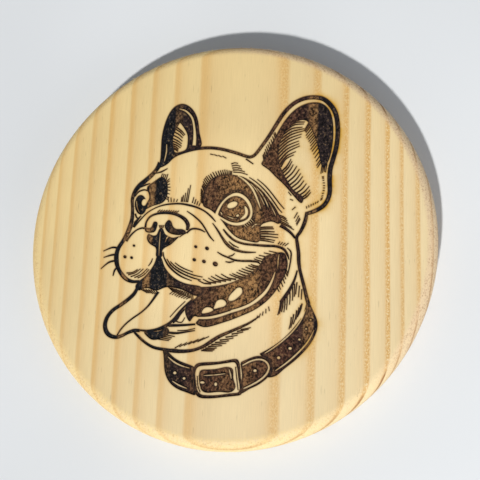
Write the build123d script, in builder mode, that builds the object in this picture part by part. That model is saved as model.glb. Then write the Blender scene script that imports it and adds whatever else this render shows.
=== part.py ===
"""A round pine board, flat-sawn and rounded at its edges, with a bulldog burnt into its face by a laser.

Millimetres. The origin is the centre of the underside, +Z points out of the engraved face, and +Y runs up
the picture and along the grain. The board is one piece of wood. Each charred region of the picture is the
skin of burnt wood on the floor of a shallow pocket, and is its own node, because char is a different
material from pine.
"""
from build123d import *
import math
import os

os.makedirs("parts", exist_ok=True)

# ---- driving dimensions --------------------------------------------------------------------------
BOARD_DIAMETER = 100.0
BOARD_THICKNESS = 10.0
EDGE_RADIUS = 3.0
ENGRAVING_DEPTH = 0.40
CHAR_THICKNESS = 0.12
SPOT = 0.16  # the narrowest line the laser's spot leaves
SMALLEST_MARK = 0.03  # mm2: scraps of char smaller than this flake off

FACE = BOARD_THICKNESS
POCKET_FLOOR = FACE - ENGRAVING_DEPTH


# ---- pen strokes ---------------------------------------------------------------------------------
def between(values, share):
    """The value at a share, 0 to 1, of the way along evenly spaced values."""
    place = share * (len(values) - 1)
    low = min(int(place), len(values) - 2)
    return values[low] + (values[low + 1] - values[low]) * (place - low)


def curve(points, share):
    """The point at a share, 0 to 1, of a smooth Catmull-Rom curve through the points."""
    if len(points) == 2:
        return tuple(between([p[k] for p in points], share) for k in (0, 1))
    place = share * (len(points) - 1)
    low = min(int(place), len(points) - 2)
    t = place - low
    a = points[max(low - 1, 0)]
    b = points[low]
    c = points[low + 1]
    d = points[min(low + 2, len(points) - 1)]
    middle = []
    for k in (0, 1):
        slope = c[k] - a[k]
        bend = 2 * a[k] - 5 * b[k] + 4 * c[k] - d[k]
        twist = 3 * (b[k] - c[k]) + d[k] - a[k]
        middle.append(b[k] + t / 2 * (slope + t * (bend + t * twist)))
    return tuple(middle)


def brush(*points, width=(SPOT, 0.4, SPOT), mode=Mode.ADD):
    """A stroke along a smooth line through the points, as wide at each place as the widths say."""
    steps = 2 * len(points)
    left, right = [], []
    for i in range(steps + 1):
        share = i / steps
        x, y = curve(points, share)
        x0, y0 = curve(points, max(share - 0.01, 0))
        x1, y1 = curve(points, min(share + 0.01, 1))
        length = math.hypot(x1 - x0, y1 - y0)
        reach = max(between(width, share), SPOT) / 2
        across = (-(y1 - y0) / length * reach, (x1 - x0) / length * reach)
        left.append((x + across[0], y + across[1]))
        right.append((x - across[0], y - across[1]))
    with BuildLine() as outline:
        Spline(*left)
        Line(left[-1], right[-1])
        Spline(*reversed(right))
        Line(right[0], left[0])
    make_face(outline.edges(), mode=mode)


def patch(*points, mode=Mode.ADD):
    """A filled area with a smooth closed outline through the points."""
    with BuildLine() as outline:
        Spline(*points, periodic=True)
    make_face(outline.edges(), mode=mode)


def dab(x, y, long, short, angle=0, mode=Mode.ADD):
    """A small oval mark, long and short being its full widths."""
    with Locations(Location((x, y, 0), (0, 0, angle))):
        Ellipse(long / 2, short / 2, mode=mode)


def hatch(start, end, count, width=0.3, bow=0.0, mode=Mode.ADD):
    """Strokes from one guide line to another, each thinner towards its end and bowed sideways by bow."""
    for i in range(count):
        share = i / (count - 1)
        uneven = 0.06 * math.sin(5.1 * i) + 0.04 * math.sin(2.3 * i)
        x0, y0 = curve(start, share)
        x1, y1 = curve(end, share)
        x1, y1 = x1 + (x1 - x0) * uneven, y1 + (y1 - y0) * uneven
        length = math.hypot(x1 - x0, y1 - y0)
        side = bow / length
        middle = ((x0 + x1) / 2 - (y1 - y0) * side, (y0 + y1) / 2 + (x1 - x0) * side)
        brush((x0, y0), middle, (x1, y1), width=(width, width * 0.8, SPOT), mode=mode)


BARE = Mode.SUBTRACT  # wood left unburnt inside a burnt area


# ---- the picture, from the top down --------------------------------------------------------------
def far_ear():
    patch(
        (-17.7, 18.0), (-17.3, 21.5), (-17.35, 25.0), (-16.9, 28.5), (-15.9, 31.6), (-14.3, 33.8),
        (-12.5, 34.4), (-10.7, 33.7), (-9.1, 31.9), (-8.1, 29.2), (-7.6, 26.2), (-7.2, 23.1),
        (-9.5, 22.2), (-12.0, 21.3), (-14.4, 19.8), (-16.2, 18.2),
    )
    brush(
        (-13.2, 33.1), (-11.4, 32.4), (-9.8, 30.6), (-9.1, 28.0), (-8.85, 25.5), (-8.9, 23.4),
        width=(0.2, 0.45, 0.5, 0.55, 0.8, 0.9), mode=BARE,
    )
    patch(
        (-12.4, 29.6), (-11.4, 27.6), (-10.7, 26.0), (-10.6, 24.2), (-11.0, 22.4), (-12.3, 21.8),
        (-13.6, 21.7), (-14.3, 23.4), (-14.4, 25.4), (-13.9, 27.4), (-13.2, 28.8), mode=BARE,
    )
    brush((-15.95, 23.8), (-15.9, 21.8), (-16.3, 19.4), width=(0.2, 0.34, 0.2), mode=BARE)
    hatch(
        [(-14.5, 22.6), (-14.6, 25.0), (-13.6, 28.2)], [(-13.0, 21.9), (-12.2, 23.6), (-11.6, 26.4)],
        10, 0.34, 0.15,
    )
    brush((-12.9, 29.9), (-11.9, 28.6), (-11.1, 27.2), width=(0.5, 0.35, SPOT))


def near_ear():
    # The ear's dark hollow, with its pale inner skin left bare.
    patch(
        (8.2, 18.7), (9.6, 21.6), (10.9, 24.4), (12.4, 27.4), (14.1, 30.1), (16.2, 32.3), (18.4, 33.5),
        (20.6, 33.9), (22.6, 33.5), (24.2, 32.0), (25.1, 29.6), (25.4, 26.5), (25.3, 23.4),
        (24.9, 20.8), (24.1, 18.4), (23.2, 17.2), (22.5, 18.6), (22.1, 20.8), (21.6, 23.0),
        (20.9, 25.2), (20.0, 27.4), (18.8, 29.2), (16.8, 29.2), (14.6, 27.6), (12.9, 24.8),
        (12.2, 21.6), (12.5, 18.6), (13.6, 15.8), (15.0, 13.4), (16.8, 11.2), (18.5, 9.6), (18.2, 8.6),
        (16.9, 9.5), (15.2, 11.5), (13.4, 13.5), (11.3, 15.5), (9.4, 17.3),
    )
    hatch([(8.7, 19.4), (10.0, 22.1), (11.6, 25.2)], [(8.4, 20.6), (9.5, 23.3), (11.2, 26.4)], 11, 0.28)
    # Curved lines that follow the hollow of the ear.
    hatch([(14.1, 27.5), (12.9, 25.0), (12.1, 22.0), (12.2, 19.6), (12.9, 17.6)],
          [(18.4, 28.9), (18.2, 27.2), (17.7, 25.5), (17.2, 23.2), (16.0, 20.6)], 12, 0.42, 0.6)
    # Short lines that rise to the dark far wall.
    hatch(
        [(19.6, 28.9), (21.0, 26.4), (22.0, 23.6), (23.0, 19.4)],
        [(18.4, 26.7), (19.3, 24.4), (20.4, 21.4), (21.8, 17.4)], 16, 0.34,
    )
    hatch([(22.9, 18.2), (24.0, 18.2)], [(22.6, 15.8), (23.7, 16.2)], 4, 0.28)
    # The fan of hair above the ear's lower edge.
    hatch(
        [(13.1, 16.4), (15.4, 12.7), (18.0, 9.3)], [(15.3, 19.5), (18.0, 15.5), (20.3, 11.2)], 12, 0.4,
        -0.25,
    )
    hatch([(22.9, 15.0), (23.2, 12.2), (22.6, 9.2)], [(23.3, 15.0), (23.6, 12.2), (23.0, 9.4)], 11, SPOT)
    hatch([(21.9, 8.6), (19.4, 7.2)], [(22.1, 9.0), (19.3, 7.7)], 6, SPOT)


def head_outline():
    brush(
        (-14.2, 20.6), (-12.0, 21.5), (-9.0, 22.4), (-6.2, 22.7), (-3.6, 22.6), (-1.0, 22.1),
        (2.0, 21.2), (4.2, 20.4), (5.4, 20.2), (6.5, 20.8), (8.0, 22.8), (9.8, 25.5), (11.6, 28.6),
        (13.4, 31.5), (15.6, 33.7), (18.0, 34.9), (20.4, 35.2), (22.8, 34.7), (24.7, 33.0),
        (25.9, 30.8), (26.4, 28.0), (26.45, 25.0), (26.1, 22.0), (25.4, 19.2), (24.8, 16.8),
        (24.7, 14.0), (24.8, 11.4), (24.4, 9.5), (23.4, 7.9), (21.8, 6.8), (20.3, 6.2), (19.2, 5.9),
        width=(0.5, 0.8, 0.75, 0.75, 0.75, 0.8, 0.95, 1.0, 1.1, 1.15, 1.1, 1.1, 1.1, 1.0, 1.0, 0.8),
    )
    brush(
        (19.4, 6.1), (19.2, 4.6), (18.7, 3.0), (18.0, 1.5), (17.2, 0.2), (17.4, -1.6), (17.7, -3.6),
        (17.8, -5.6), (18.1, -7.6), (18.7, -9.8), (19.3, -12.0), (19.8, -14.0), (20.3, -15.6),
        width=(0.7, 0.9, 0.8, 0.7, 0.8, 0.85, 0.7, 0.75, 0.8, 0.9),
    )
    # The far side of the face, down over the lip.
    brush(
        (-17.3, 19.0), (-17.9, 17.7), (-19.0, 16.2), (-20.6, 14.7), (-22.2, 13.3), (-23.4, 11.6),
        (-23.9, 9.6), (-23.7, 7.4), (-23.6, 5.2), (-23.9, 3.2), (-24.6, 1.0), (-25.6, -0.9),
        (-26.6, -2.6), (-27.0, -4.4), (-26.8, -6.3), (-26.2, -7.9), (-25.2, -9.3), (-23.9, -10.4),
        (-22.4, -10.9), (-20.8, -10.8),
        width=(1.3, 1.0, 1.1, 1.2, 0.9, 0.7, 0.9, 1.2, 0.9, 1.0, 1.2, 0.9, 1.0, 0.8, 0.6),
    )
    brush((4.3, 19.7), (6.1, 18.4), width=(0.34, 0.28, 0.22))
    hatch([(-4.7, 21.1), (-1.6, 20.5)], [(-3.9, 20.9), (-0.7, 20.0)], 4, 0.2)


def brow_hatching():
    # Stacked hair above the brow.
    hatch([(1.3, 16.4), (0.7, 18.5)], [(4.8, 15.7), (2.2, 18.6)], 5, 0.26, 0.2)
    # Hair that fans out behind the temple and the cheek.
    brush(
        (5.3, 15.0), (7.4, 13.5), (9.5, 11.4), (11.3, 9.1), (12.6, 7.2), (13.5, 6.2),
        width=(SPOT, 0.28, 0.3, SPOT),
    )
    brush(
        (7.3, 14.5), (9.2, 12.9), (11.1, 10.7), (12.7, 8.6), (14.0, 7.1),
        width=(SPOT, 0.24, 0.26, SPOT),
    )
    hatch([(12.8, 5.6), (12.9, 4.7), (13.0, 3.8)], [(14.6, 4.7), (15.3, 3.4), (16.2, 2.1)], 5, 0.28, 0.12)
    hatch([(17.9, 4.6), (17.2, 6.2), (15.6, 10.4)], [(17.1, 3.1), (16.5, 4.9), (14.9, 11.3)], 7, 0.2)
    # The bridge of the nose.
    hatch(
        [(-11.4, 9.0), (-10.6, 9.0), (-9.8, 8.9)], [(-11.3, 10.2), (-10.4, 11.4), (-9.3, 12.9)], 5,
        0.26,
    )
    hatch([(-8.6, 8.7), (-6.9, 8.0)], [(-8.3, 10.1), (-6.6, 8.7)], 4, 0.24)
    hatch([(-14.6, 9.0), (-12.6, 9.0)], [(-14.9, 10.3), (-12.4, 9.6)], 4, 0.22)


def far_eye_patch():
    patch(
        (-16.4, 15.3), (-15.3, 14.0), (-15.0, 12.0), (-15.1, 10.4), (-15.9, 9.0), (-17.4, 8.3),
        (-19.2, 7.7), (-20.4, 7.2), (-20.2, 8.6), (-19.6, 9.8), (-19.8, 11.2), (-20.3, 12.6),
        (-18.9, 14.0), (-17.6, 15.0),
    )
    hatch(
        [(-15.3, 14.3), (-15.0, 12.4), (-15.4, 9.8)], [(-14.7, 14.9), (-14.4, 12.3), (-14.6, 9.5)], 8,
        0.24,
    )
    hatch([(-16.9, 15.0), (-15.6, 14.6)], [(-16.6, 16.2), (-15.2, 16.0)], 4, 0.26)


def far_eye():
    dab(-21.65, 8.3, 5.0, 3.0, 97)
    dab(-20.8, 8.9, 1.75, 1.3, 80, mode=BARE)
    brush((-22.8, 9.3), (-22.5, 7.6), (-21.9, 6.4), width=(SPOT, 0.24, SPOT), mode=BARE)
    brush((-23.3, 10.4), (-22.4, 11.6), (-21.0, 12.1), (-19.9, 11.7), width=(0.24, 0.4, 0.36, SPOT))
    brush((-22.2, 12.7), (-20.9, 13.3), (-19.6, 13.7), width=(0.3, 0.45, 0.2))
    brush((-22.9, 6.0), (-22.5, 5.1), (-21.9, 4.7), width=(0.4, 0.35, 0.2))
    brush((-21.4, 5.5), (-21.9, 4.9), (-22.7, 3.8), (-23.1, 2.6), width=(0.2, 0.4, 0.7, 0.5))
    brush((-18.4, 16.3), (-16.9, 16.7), (-15.4, 17.5), width=(0.2, 0.4, 0.2))


def near_eye_patch():
    # The coloured patch round the eye: brow, temple and the hollow beneath.
    patch(
        (-5.9, 8.2), (-6.1, 10.2), (-5.6, 12.4), (-4.6, 14.2), (-2.9, 15.4), (-0.9, 15.9), (1.4, 15.7),
        (3.8, 15.1), (6.3, 13.6), (8.6, 11.6), (10.4, 9.4), (11.9, 7.4), (12.9, 5.6), (13.4, 4.2),
        (12.8, 3.5), (11.6, 3.9), (9.8, 3.8), (8.5, 3.0), (8.5, 1.6), (8.6, 0.2), (8.1, -0.9),
        (6.2, -0.9), (4.4, -0.5), (3.2, -0.1), (1.4, 1.2), (0.0, 2.8), (-1.2, 4.4), (-2.6, 5.8),
        (-4.3, 7.1),
    )
    patch(
        (-2.8, 6.0), (-1.7, 8.3), (0.1, 10.3), (2.2, 11.2), (4.3, 10.4), (5.8, 8.6), (6.4, 6.5),
        (6.0, 4.7), (4.6, 3.4), (2.6, 3.0), (0.3, 3.6), (-1.5, 4.7), mode=BARE,
    )
    # Lashes below the eye.
    hatch([(4.2, 3.5), (5.9, 4.7)], [(5.1, 2.6), (6.7, 3.9)], 5, 0.24, mode=BARE)
    # Pale lines that sweep over the temple, the boldest along the brow.
    brush(
        (2.4, 15.5), (4.4, 14.1), (6.1, 12.2), (7.3, 9.8), (8.3, 7.2),
        width=(0.3, 0.5, 0.55, 0.5, 0.2), mode=BARE,
    )
    brush((5.6, 13.5), (7.1, 11.9), (8.3, 9.9), (9.2, 8.1), width=(0.2, 0.3, 0.3, SPOT), mode=BARE)
    brush((7.1, 12.4), (8.6, 10.7), (9.6, 8.9), (10.2, 7.5), width=(0.2, 0.3, 0.3, SPOT), mode=BARE)
    brush((10.2, 8.9), (10.9, 7.7), (11.6, 6.4), (12.0, 5.4), width=(0.2, 0.3, 0.28, SPOT), mode=BARE)
    # The patch fades into the roll of the cheek.
    brush((6.3, 2.5), (7.2, 3.3), (8.4, 3.4), width=(0.2, 0.34, 0.3), mode=BARE)
    hatch([(7.4, 2.4), (7.4, 1.0), (7.1, -0.4)], [(11.4, 2.7), (12.5, 0.8), (11.8, -1.1)], 7, 0.4, 0.1)
    # Its upper edge is drawn hair by hair.
    hatch(
        [(-5.8, 11.8), (-4.6, 14.3), (-1.6, 15.8), (0.8, 15.8)],
        [(-6.4, 12.9), (-5.4, 15.4), (-2.0, 16.9), (0.9, 16.7)], 19, 0.3,
    )
    hatch([(-6.0, 8.6), (-6.1, 11.4)], [(-6.6, 9.3), (-6.6, 12.3)], 8, 0.26)


def near_eye():
    patch(
        (-2.0, 6.0), (-1.1, 8.2), (0.4, 9.8), (2.1, 10.35), (4.0, 9.6), (5.3, 7.9), (5.8, 6.0), (5.3, 4.8),
        (4.2, 4.1), (2.4, 3.75), (0.5, 4.2), (-1.0, 5.0),
    )
    patch((4.5, 7.9), (5.3, 6.1), (4.9, 5.1), (4.0, 4.55), (3.3, 4.4), (4.1, 5.4), (4.5, 6.6), mode=BARE)
    dab(1.35, 8.15, 2.7, 1.55, 22, mode=BARE)
    brush((0.2, 5.3), (1.6, 4.8), (2.6, 4.75), width=(0.16, 0.3, 0.16), mode=BARE)
    dab(2.75, 5.5, 0.8, 0.6, 20, mode=BARE)
    brush((-1.5, 6.4), (-1.2, 6.0), (-1.1, 5.6), width=(0.2, 0.34, 0.16), mode=BARE)
    # The fold of the upper lid.
    brush(
        (-2.3, 7.6), (-1.2, 9.4), (0.4, 10.8), (2.3, 11.6), (4.4, 11.0), (6.1, 9.3), (6.9, 7.0),
        (6.8, 4.8), width=(SPOT, 0.3, 0.5, 0.6, 0.7, 0.6, 0.5, SPOT),
    )


def nose_folds():
    # The roll of skin that arches over the nose.
    brush(
        (-23.0, 2.7), (-21.4, 4.6), (-19.8, 6.3), (-17.8, 7.5), (-15.8, 8.2), (-13.6, 8.5),
        (-11.4, 8.5), (-9.2, 8.1), (-7.2, 7.5), (-5.4, 6.6), (-3.8, 5.3), (-2.6, 4.0),
        width=(0.5, 0.3, 0.26, 0.24, 0.34, 0.4, 0.42, 0.5, 0.42, 0.34, 0.4, SPOT),
    )
    brush(
        (-20.1, 2.6), (-19.9, 4.0), (-19.0, 5.3), (-17.4, 6.0), (-15.4, 6.25), (-13.3, 6.05),
        (-11.5, 5.4), (-10.1, 4.4), (-9.4, 3.1), (-9.6, 1.9),
        width=(0.5, 0.4, 0.45, 0.5, 0.65, 0.7, 0.75, 0.9, 0.95, 0.5),
    )
    hatch([(-17.2, 6.5), (-12.4, 6.3)], [(-16.6, 7.0), (-11.9, 6.7)], 9, 0.22)
    brush((-9.8, 6.6), (-8.0, 5.4), (-6.2, 3.8), (-4.9, 2.0), (-3.9, 0.4), (-2.8, -0.8),
          width=(SPOT, 0.34, 0.34, 0.34, 0.36, SPOT))
    brush(
        (-3.3, 3.6), (-2.0, 1.9), (-0.9, 0.2), (0.3, -1.4), (1.8, -2.6), (3.6, -3.25), (5.4, -3.5),
        (7.5, -3.5), width=(SPOT, 0.4, 0.5, 0.7, 0.7, 0.55, 0.45, SPOT),
    )
    brush((0.9, -0.9), (2.0, -1.8), (3.3, -2.4), width=(SPOT, 0.3, SPOT))


def nose():
    # Far nostril.
    patch(
        (-20.2, 2.2), (-19.9, 1.5), (-18.8, 1.25), (-17.7, 1.5), (-17.2, 2.6), (-17.3, 3.9),
        (-17.9, 4.0), (-18.4, 3.0), (-19.1, 2.4),
    )
    # Near nostril.
    patch((-14.9, 3.9), (-15.2, 2.9), (-14.8, 1.9), (-13.8, 1.1), (-12.3, 0.7), (-10.9, 0.8), (-9.9, 1.5),
          (-10.8, 2.1), (-12.3, 2.2), (-13.2, 2.9), (-13.6, 3.9), (-14.3, 4.4))
    # The pad below the nostrils, and the groove down to the lip.
    patch(
        (-19.4, 0.7), (-19.4, -0.6), (-18.3, -1.8), (-17.2, -2.5), (-17.0, -3.6), (-16.9, -4.6),
        (-16.2, -5.0), (-15.5, -4.6), (-15.5, -3.4), (-15.0, -2.6), (-13.6, -1.8), (-12.4, -0.7),
        (-11.5, 0.3), (-12.8, 0.0), (-14.0, 0.3), (-15.0, 0.9), (-15.5, 1.9), (-16.1, 2.5),
        (-16.7, 1.8), (-17.2, 0.7), (-18.3, 0.6),
    )
    brush((-16.25, 1.5), (-16.3, -1.4), (-16.25, -4.4), width=(0.16, 0.26, 0.16), mode=BARE)
    brush((-14.9, -1.1), (-14.4, 0.1), (-13.6, 0.5), width=(SPOT, 0.3, SPOT), mode=BARE)
    hatch([(-16.6, 3.1), (-15.5, 3.1)], [(-16.5, 2.6), (-15.6, 2.5)], 4, 0.2)


def muzzle_lines():
    brush(
        (-24.7, -0.9), (-23.6, 0.7), (-22.3, 1.9), (-21.0, 2.4), (-20.3, 2.3),
        width=(0.5, 0.4, 0.34, 0.4, 0.4),
    )
    brush(
        (-9.6, 1.2), (-8.6, 2.1), (-7.4, 2.25), (-6.1, 1.95), (-5.1, 1.4),
        width=(0.4, 0.45, 0.4, 0.34, SPOT),
    )
    brush((-11.3, 0.2), (-10.4, 0.9), (-9.6, 1.3), width=(SPOT, 0.3, 0.3))
    # Creases in the lip, and two stray hairs.
    brush(
        (-1.8, -3.5), (-0.4, -4.3), (1.2, -4.9), (2.4, -5.4), (4.2, -5.6), (6.2, -5.6), (8.0, -5.8),
        (8.6, -6.3), width=(SPOT, 0.34, 0.4, 0.45, 0.45, 0.5, 0.5, SPOT),
    )
    brush((2.4, -3.8), (1.8, -4.3), (1.0, -4.5), width=(SPOT, 0.3, 0.2))
    brush((0.3, -5.8), (1.2, -5.95), (2.3, -5.75), width=(SPOT, 0.34, 0.2))


def muzzle_shading():
    # Far lip.
    hatch([(-24.1, -8.8), (-23.0, -9.7), (-21.2, -10.0)], [(-21.4, -7.9), (-19.7, -7.6), (-18.7, -8.0)], 5,
          0.26, -0.3)
    brush((-18.7, -7.0), (-18.1, -6.1), (-17.8, -5.2), width=(SPOT, 0.26, SPOT))
    # Near lip: curves that follow its edge, then lines that fade out from its underside.
    brush((-15.2, -3.6), (-14.9, -5.0), (-13.7, -6.9), (-12.1, -8.4), (-10.2, -9.6), (-7.8, -10.5),
          width=(SPOT, 0.3, 0.4, 0.4, 0.34, SPOT))
    brush((-14.2, -5.3), (-13.0, -6.9), (-11.5, -8.05), (-9.7, -9.0), (-7.6, -9.8), (-5.6, -10.3),
          width=(SPOT, 0.3, 0.34, 0.34, 0.3, SPOT))
    brush((-13.3, -5.9), (-12.1, -7.0), (-10.6, -7.9), (-9.0, -8.6), (-7.2, -9.2), (-5.2, -9.6),
          width=(SPOT, 0.26, 0.3, 0.3, 0.24, SPOT))
    brush((-12.1, -6.2), (-10.8, -7.1), (-9.3, -7.8), (-7.6, -8.4), width=(SPOT, 0.26, 0.24, SPOT))
    hatch([(-3.0, -11.2), (3.0, -10.05)], [(-6.2, -10.4), (-0.7, -8.8)], 6, 0.34, 0.3)
    hatch([(4.5, -9.95), (6.7, -8.5), (8.4, -6.9)], [(1.4, -8.9), (4.1, -7.7), (6.3, -6.4)], 8, 0.34, 0.1)


def whiskers():
    brush((-26.4, -2.7), (-28.2, -2.5), (-30.4, -3.4), width=(0.5, 0.42, SPOT))
    brush((-26.7, -4.2), (-28.4, -4.4), (-30.2, -5.0), width=(0.55, 0.42, SPOT))
    brush((-26.8, -5.7), (-28.8, -6.2), (-30.7, -7.8), width=(0.5, 0.42, SPOT))
    brush((-26.5, -7.3), (-27.2, -8.2), (-27.5, -9.5), width=(0.5, 0.42, 0.24))


def whisker_pits():
    for x, y, size in (
        (-22.7, -2.0, 0.65), (-24.8, -4.8, 0.85), (-23.1, -5.0, 0.75), (-7.2, -2.2, 0.8),
        (-4.4, -2.6, 1.0), (-7.4, -5.4, 0.9), (-5.0, -5.8, 0.95), (-2.2, -6.4, 1.3),
    ):
        dab(x, y, size, size * 0.8, -35)


def mouth_front():
    # The deep gap between the two lips, above the tongue.
    patch(
        (-16.9, -5.1), (-17.5, -6.9), (-18.6, -8.6), (-19.9, -10.0), (-21.3, -11.2), (-21.6, -12.4),
        (-20.8, -13.0), (-19.4, -12.5), (-17.9, -12.6), (-16.6, -13.0), (-15.4, -12.7), (-14.2, -12.2),
        (-12.4, -12.2), (-10.4, -12.6), (-8.4, -13.4), (-6.7, -14.1), (-5.2, -13.6), (-5.1, -12.3),
        (-6.8, -11.6), (-9.2, -11.2), (-11.6, -10.2), (-13.4, -8.8), (-14.8, -6.9), (-15.6, -5.0),
        (-16.2, -4.4),
    )
    hatch([(-20.3, -12.7), (-16.5, -12.9)], [(-18.6, -13.6), (-15.9, -13.9)], 7, 0.24)
    hatch([(-13.4, -12.1), (-7.4, -13.6)], [(-12.1, -13.3), (-7.2, -15.0)], 13, 0.26)
    hatch([(-11.9, -12.9), (-7.8, -14.4)], [(-13.0, -13.8), (-9.0, -15.0)], 8, 0.18)


def mouth_cavity():
    patch(
        (-5.9, -12.0), (-3.4, -11.9), (-0.6, -11.5), (2.0, -10.8), (4.2, -9.8), (6.2, -8.6),
        (7.9, -7.2), (8.9, -5.9), (9.6, -4.6), (11.2, -4.0), (12.9, -3.5), (14.2, -3.6), (15.0, -4.9),
        (15.2, -6.6), (14.8, -8.4), (13.8, -10.6), (12.6, -12.6), (11.0, -14.6), (9.2, -16.2),
        (7.0, -17.6), (4.6, -18.7), (2.2, -19.7), (-0.4, -20.6), (-3.0, -21.4), (-5.2, -21.3),
        (-6.2, -20.5), (-5.6, -19.6), (-6.6, -19.0), (-7.7, -20.2), (-8.7, -18.9), (-9.0, -17.2),
        (-8.6, -16.2), (-7.3, -15.2), (-6.2, -13.9),
    )
    # The bare rim of the lower lip, from the corner of the mouth forwards.
    brush(
        (12.3, -8.1), (11.6, -10.3), (10.5, -12.5), (8.9, -14.3), (6.8, -15.9), (4.4, -17.0),
        (1.8, -17.8), (-0.6, -18.7), (-3.2, -19.3), (-6.0, -19.4),
        width=(0.2, 0.5, 0.7, 0.8, 0.7, 0.65, 0.7, 0.7, 0.6, 0.5), mode=BARE,
    )
    # Teeth.
    patch(
        (4.5, -12.3), (4.6, -13.2), (3.6, -14.4), (2.3, -15.2), (1.4, -15.1), (1.5, -14.2),
        (2.6, -12.8), (3.6, -12.0), mode=BARE,
    )
    patch(
        (0.9, -15.8), (0.4, -15.1), (-0.6, -14.9), (-1.5, -15.4), (-1.9, -16.4), (-2.1, -17.1),
        (-0.8, -16.9), (0.6, -16.4), mode=BARE,
    )
    patch(
        (-2.2, -17.3), (-2.8, -16.9), (-3.8, -16.8), (-4.6, -17.3), (-4.9, -18.2), (-3.8, -18.2),
        (-2.8, -17.9), mode=BARE,
    )
    # The moist edge of the corner of the mouth.
    brush((13.1, -3.9), (12.9, -5.6), (12.9, -7.4), width=(SPOT, 0.3, SPOT), mode=BARE)
    hatch([(9.0, -5.7), (9.7, -4.5), (12.6, -3.6)], [(7.2, -5.1), (8.2, -4.2), (10.8, -3.2)], 5, 0.26)
    hatch(
        [(14.9, -7.6), (14.2, -9.8), (12.9, -12.0)], [(15.3, -8.4), (14.6, -10.8), (13.4, -12.9)], 7,
        0.26,
    )


def lips():
    # The cheek's roll turns down into the corner of the mouth.
    brush(
        (-0.6, 2.1), (0.6, 0.7), (2.2, -0.6), (4.4, -1.4), (7.0, -1.7), (9.8, -1.9), (12.2, -2.0),
        (14.0, -2.6), (15.0, -3.8), (15.5, -5.2),
        width=(0.3, 0.5, 0.5, 0.5, 0.5, 0.6, 0.55, 0.6, 0.5, SPOT),
    )
    brush(
        (15.0, -2.4), (15.9, -3.4), (15.9, -5.2), (15.6, -7.2), (15.2, -9.2),
        width=(SPOT, 0.34, 0.3, 0.3, SPOT),
    )
    brush((13.2, 3.1), (14.6, 2.2), (15.8, 1.2), (16.8, 0.0), width=(0.9, 0.7, 0.6, 0.5))
    hatch([(12.8, -1.5), (14.4, -1.9)], [(13.2, -0.9), (15.2, -1.3)], 4, 0.22)
    # The line of the jaw below the teeth, and the front of the lower lip.
    brush((-4.4, -18.8), (-2.0, -18.6), (0.4, -17.95), (2.0, -17.45), width=(0.3, 0.26, 0.22, SPOT))
    brush((-12.9, -21.3), (-10.6, -21.25), (-8.4, -21.1), (-6.4, -20.9), width=(0.7, 0.6, 0.5, 0.4))
    # The pointed tooth beside the tongue is outlined, not filled.
    brush((-9.2, -17.4), (-10.2, -18.6), (-11.0, -19.8), (-11.9, -20.6), width=(0.4, 0.5, 0.7, 0.6))
    brush((-11.2, -20.2), (-10.4, -20.5), (-9.6, -20.4), (-9.0, -19.4), width=(0.3, 0.2, 0.2, SPOT))


def tongue():
    brush(
        (-21.2, -12.6), (-21.9, -13.9), (-23.2, -15.2), (-25.0, -16.6), (-26.9, -17.9), (-28.2, -19.6),
        (-28.65, -21.5), (-28.2, -23.1), (-27.1, -24.1), (-25.6, -24.4), (-24.2, -24.0), (-22.7, -23.2),
        (-21.2, -22.7), (-19.9, -22.7),
        width=(0.8, 0.9, 0.9, 0.85, 0.9, 1.0, 1.1, 0.95, 0.8, 0.7, 0.85, 0.7),
    )
    brush(
        (-15.9, -13.3), (-17.0, -15.1), (-18.3, -16.9), (-19.9, -18.4), (-21.6, -19.6), (-23.3, -21.0),
        (-24.6, -22.5), (-25.4, -23.9),
        width=(0.7, 0.5, 0.4, 0.34, 0.36, 0.34, 0.34, 0.3),
    )
    brush(
        (-7.4, -15.0), (-9.0, -16.5), (-10.4, -18.1), (-11.6, -19.7), (-12.8, -20.9), (-14.2, -21.8),
        (-16.0, -22.4), (-18.0, -22.7), (-19.8, -22.6),
        width=(0.3, 0.4, 0.5, 0.5, 0.7, 0.9, 0.6, 0.5, 0.4),
    )
    brush((-9.1, -15.5), (-10.9, -17.3), (-12.6, -19.3), width=(SPOT, 0.22, SPOT))


def chin():
    patch(
        (-18.6, -23.0), (-16.6, -22.8), (-14.8, -22.6), (-13.2, -21.9), (-12.6, -22.9), (-13.6, -23.9),
        (-15.0, -24.6), (-16.6, -24.8), (-17.9, -24.1),
    )
    hatch([(-15.2, -24.6), (-13.2, -23.6)], [(-12.6, -24.9), (-11.3, -23.9)], 4, 0.28)
    brush((-13.0, -23.0), (-10.8, -23.1), (-8.8, -22.8), (-6.4, -22.4), width=(0.5, 0.5, 0.4, SPOT))
    brush((-10.6, -22.5), (-8.6, -22.4), (-6.4, -21.9), width=(SPOT, 0.24, SPOT))
    # The jaw, thickest under the chin and fading out along the neck.
    brush(
        (-21.2, -23.1), (-19.9, -24.3), (-18.2, -25.6), (-16.2, -26.6), (-13.8, -27.0), (-11.2, -27.3),
        (-8.6, -27.3), (-6.2, -26.9), (-4.1, -26.0), (-2.4, -24.9), (-0.4, -23.6), (2.0, -22.5),
        (4.4, -21.4), (6.6, -20.3), (8.9, -18.7),
        width=(0.5, 0.6, 0.6, 0.65, 0.7, 0.9, 0.8, 0.7, 0.7, 0.9, 0.8, 0.7, 0.6, 0.5, SPOT),
    )
    hatch([(-11.0, -26.6), (-5.6, -25.0)], [(-9.4, -25.6), (-2.9, -23.7)], 6, 0.22)
    hatch(
        [(-4.6, -27.0), (-1.4, -25.1), (4.6, -21.9)], [(-1.9, -27.1), (1.9, -24.6), (6.9, -21.4)], 11,
        0.3, -0.05,
    )
    hatch([(8.0, -19.6), (11.2, -17.4)], [(8.5, -18.6), (11.0, -16.5)], 5, 0.18)


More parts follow.
